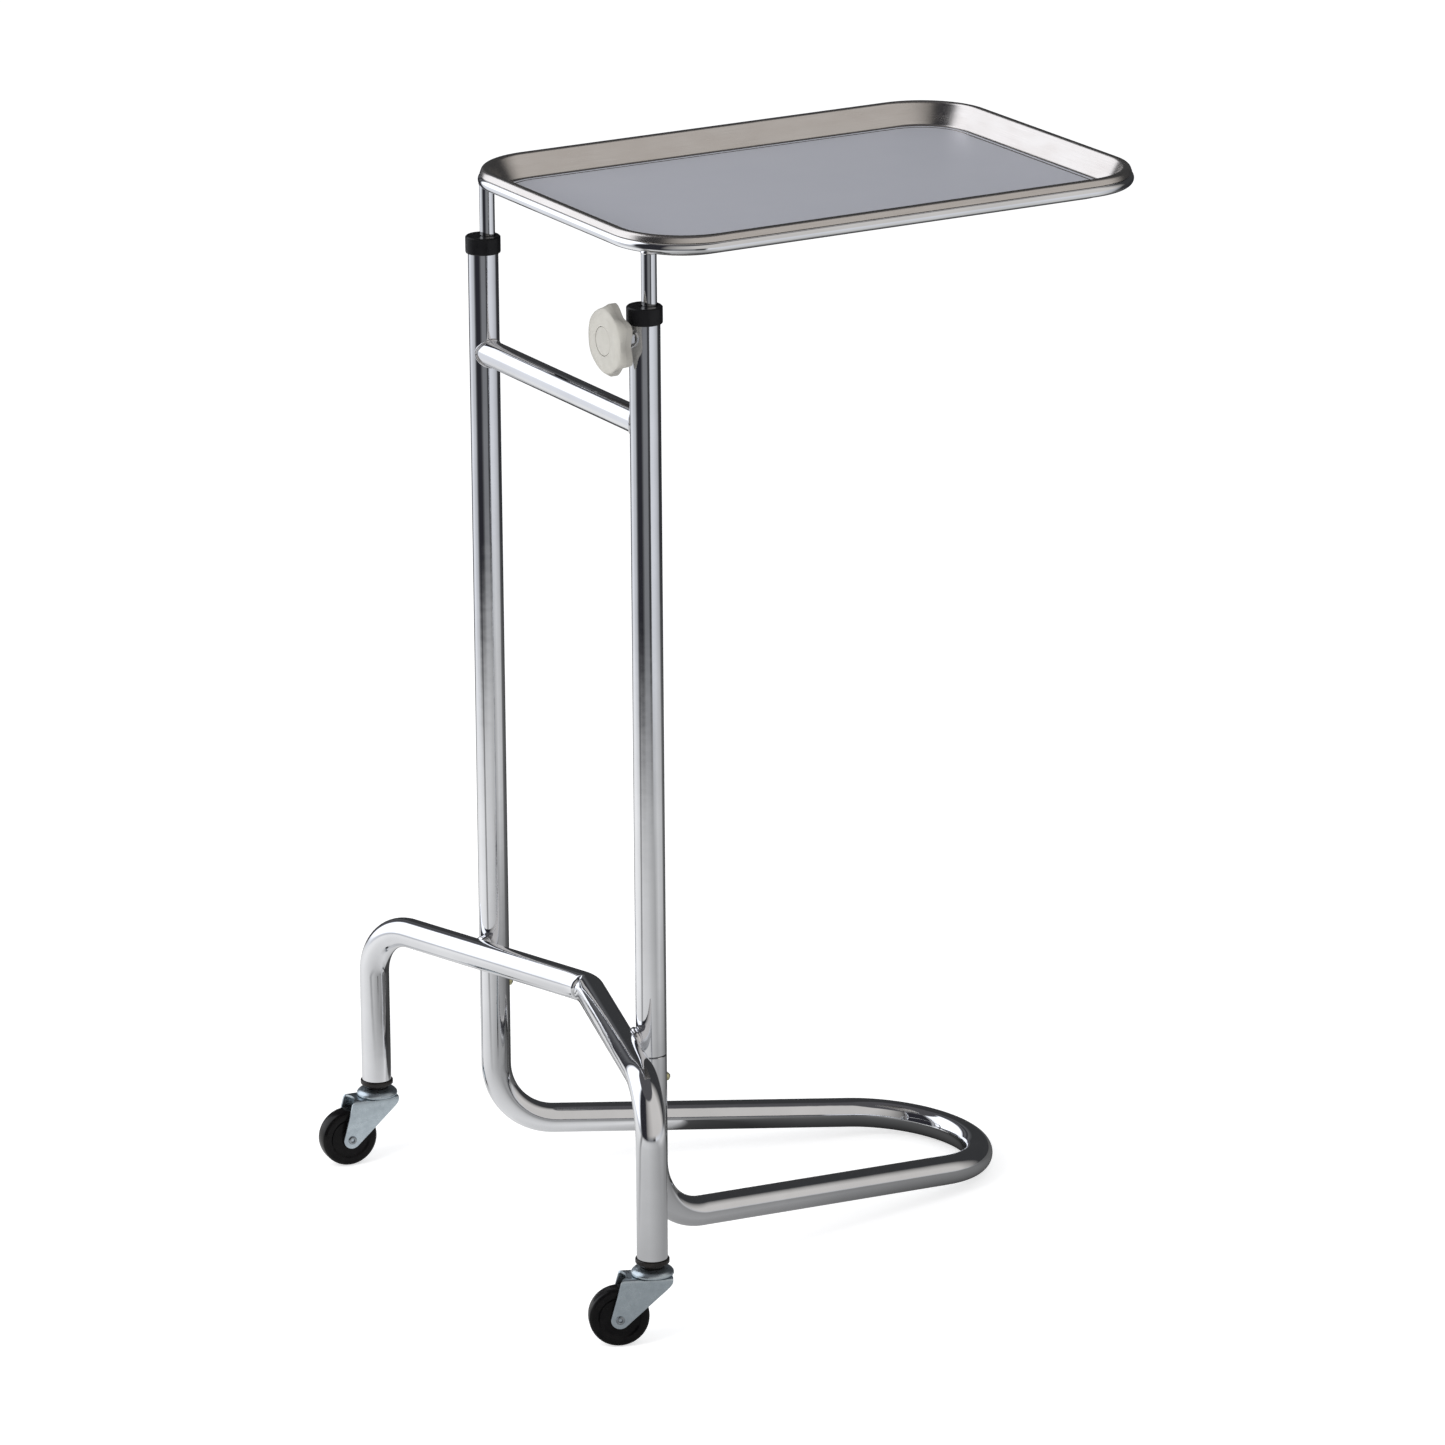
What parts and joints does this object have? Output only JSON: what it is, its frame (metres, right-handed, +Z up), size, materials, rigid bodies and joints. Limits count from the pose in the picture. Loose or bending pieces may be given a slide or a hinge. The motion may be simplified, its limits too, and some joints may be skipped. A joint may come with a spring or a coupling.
{
  "type": "instrument cart",
  "caption": "Instrument stand: a lift-off rimmed steel tray on a height-adjustable chrome tube frame, with a floor loop in front and swivel casters behind.",
  "frame": {"origin": "bottom centre of the bounding box, on the floor", "axes": "+X from the posts toward the free end of the tray, +Y toward the left-hand post of a person behind the posts, +Z up"},
  "size_m": [0.5868, 0.5226, 0.8999],
  "materials": {
    "post_left_finish": "polished chrome plate",
    "post_right_finish": "polished chrome plate",
    "crossbar_finish": "polished chrome plate",
    "caster_bar_finish": "polished chrome plate",
    "base_loop_finish": "polished chrome plate",
    "post_sleeve_left_finish": "bright zinc plate",
    "post_sleeve_right_finish": "bright zinc plate",
    "base_screw_left_finish": "yellow zinc plate",
    "base_screw_right_finish": "yellow zinc plate",
    "post_cap_left_finish": "moulded black plastic",
    "post_cap_right_finish": "moulded black plastic",
    "clamp_nut_finish": "polished chrome plate",
    "caster_socket_left_finish": "moulded black plastic",
    "caster_socket_right_finish": "moulded black plastic",
    "caster_stem_left_finish": "bright zinc plate",
    "caster_stem_right_finish": "bright zinc plate",
    "swivel_cup_left_finish": "bright zinc plate",
    "swivel_cup_right_finish": "bright zinc plate",
    "tray_ring_finish": "polished chrome plate",
    "support_rod_left_finish": "polished chrome plate",
    "support_rod_right_finish": "polished chrome plate",
    "rod_glide_left_finish": "natural nylon",
    "rod_glide_right_finish": "natural nylon",
    "tray_finish": "satin stainless steel",
    "clamp_stud_finish": "bright zinc plate",
    "clamp_knob_finish": "light grey moulded plastic",
    "knob_cap_finish": "light grey moulded plastic",
    "caster_fork_left_finish": "bright zinc plate",
    "ball_ring_left_finish": "bright zinc plate",
    "axle_rivet_left_finish": "bright zinc plate",
    "wheel_left_finish": "smooth black hard rubber",
    "wheel_bushing_left_finish": "bright zinc plate",
    "caster_fork_right_finish": "bright zinc plate",
    "ball_ring_right_finish": "bright zinc plate",
    "axle_rivet_right_finish": "bright zinc plate",
    "wheel_right_finish": "smooth black hard rubber",
    "wheel_bushing_right_finish": "bright zinc plate"
  },
  "bodies": {
    "stand": {"post_left": "post_left_finish", "post_right": "post_right_finish", "crossbar": "crossbar_finish", "caster_bar": "caster_bar_finish", "base_loop": "base_loop_finish", "post_sleeve_left": "post_sleeve_left_finish", "post_sleeve_right": "post_sleeve_right_finish", "base_screw_left": "base_screw_left_finish", "base_screw_right": "base_screw_right_finish", "post_cap_left": "post_cap_left_finish", "post_cap_right": "post_cap_right_finish", "clamp_nut": "clamp_nut_finish", "caster_socket_left": "caster_socket_left_finish", "caster_socket_right": "caster_socket_right_finish", "caster_stem_left": "caster_stem_left_finish", "caster_stem_right": "caster_stem_right_finish", "swivel_cup_left": "swivel_cup_left_finish", "swivel_cup_right": "swivel_cup_right_finish"},
    "tray_support": {"tray_ring": "tray_ring_finish", "support_rod_left": "support_rod_left_finish", "support_rod_right": "support_rod_right_finish", "rod_glide_left": "rod_glide_left_finish", "rod_glide_right": "rod_glide_right_finish"},
    "tray_pan": {"tray": "tray_finish"},
    "clamp_screw": {"clamp_stud": "clamp_stud_finish"},
    "clamp_handle": {"clamp_knob": "clamp_knob_finish", "knob_cap": "knob_cap_finish"},
    "swivel_left": {"caster_fork_left": "caster_fork_left_finish", "ball_ring_left": "ball_ring_left_finish", "axle_rivet_left": "axle_rivet_left_finish"},
    "rolling_left": {"wheel_left": "wheel_left_finish", "wheel_bushing_left": "wheel_bushing_left_finish"},
    "swivel_right": {"caster_fork_right": "caster_fork_right_finish", "ball_ring_right": "ball_ring_right_finish", "axle_rivet_right": "axle_rivet_right_finish"},
    "rolling_right": {"wheel_right": "wheel_right_finish", "wheel_bushing_right": "wheel_bushing_right_finish"}
  },
  "joints": [
    {"name": "tray_height", "type": "slide", "parent": "stand", "child": "tray_support", "axis": [0, 0, 1], "range_m": [-0.037, 0.34]},
    {"name": "tray_lift", "type": "slide", "parent": "tray_support", "child": "tray_pan", "axis": [0, 0, 1], "range_m": [0, 0.06]},
    {"name": "clamp_screw_travel", "type": "slide", "parent": "stand", "child": "clamp_screw", "axis": [-1, 0, 0], "range_m": [0, 0.0026]},
    {"name": "knob_turn", "type": "hinge", "parent": "clamp_screw", "child": "clamp_handle", "pos_m": [-0.20932, -0.13661, 0.817], "axis": [-1, 0, 0], "range_deg": [0, 720]},
    {"name": "swivel_turn_left", "type": "hinge", "parent": "stand", "child": "swivel_left", "pos_m": [-0.24019, 0.24329, 0.056], "axis": [0, 0, 1], "continuous": true},
    {"name": "wheel_roll_left", "type": "hinge", "parent": "swivel_left", "child": "rolling_left", "pos_m": [-0.26798, 0.2467, 0.025], "axis": [-0.1219, -0.9925, 0], "continuous": true},
    {"name": "swivel_turn_right", "type": "hinge", "parent": "stand", "child": "swivel_right", "pos_m": [-0.24019, -0.24351, 0.056], "axis": [0, 0, 1], "continuous": true},
    {"name": "wheel_roll_right", "type": "hinge", "parent": "swivel_right", "child": "rolling_right", "pos_m": [-0.26597, -0.23257, 0.025], "axis": [-0.3907, -0.9205, 0], "continuous": true}
  ],
  "couplings": [
    {"joint": "clamp_screw_travel", "follows": "knob_turn", "m_per_rad": 0.00019894}
  ]
}
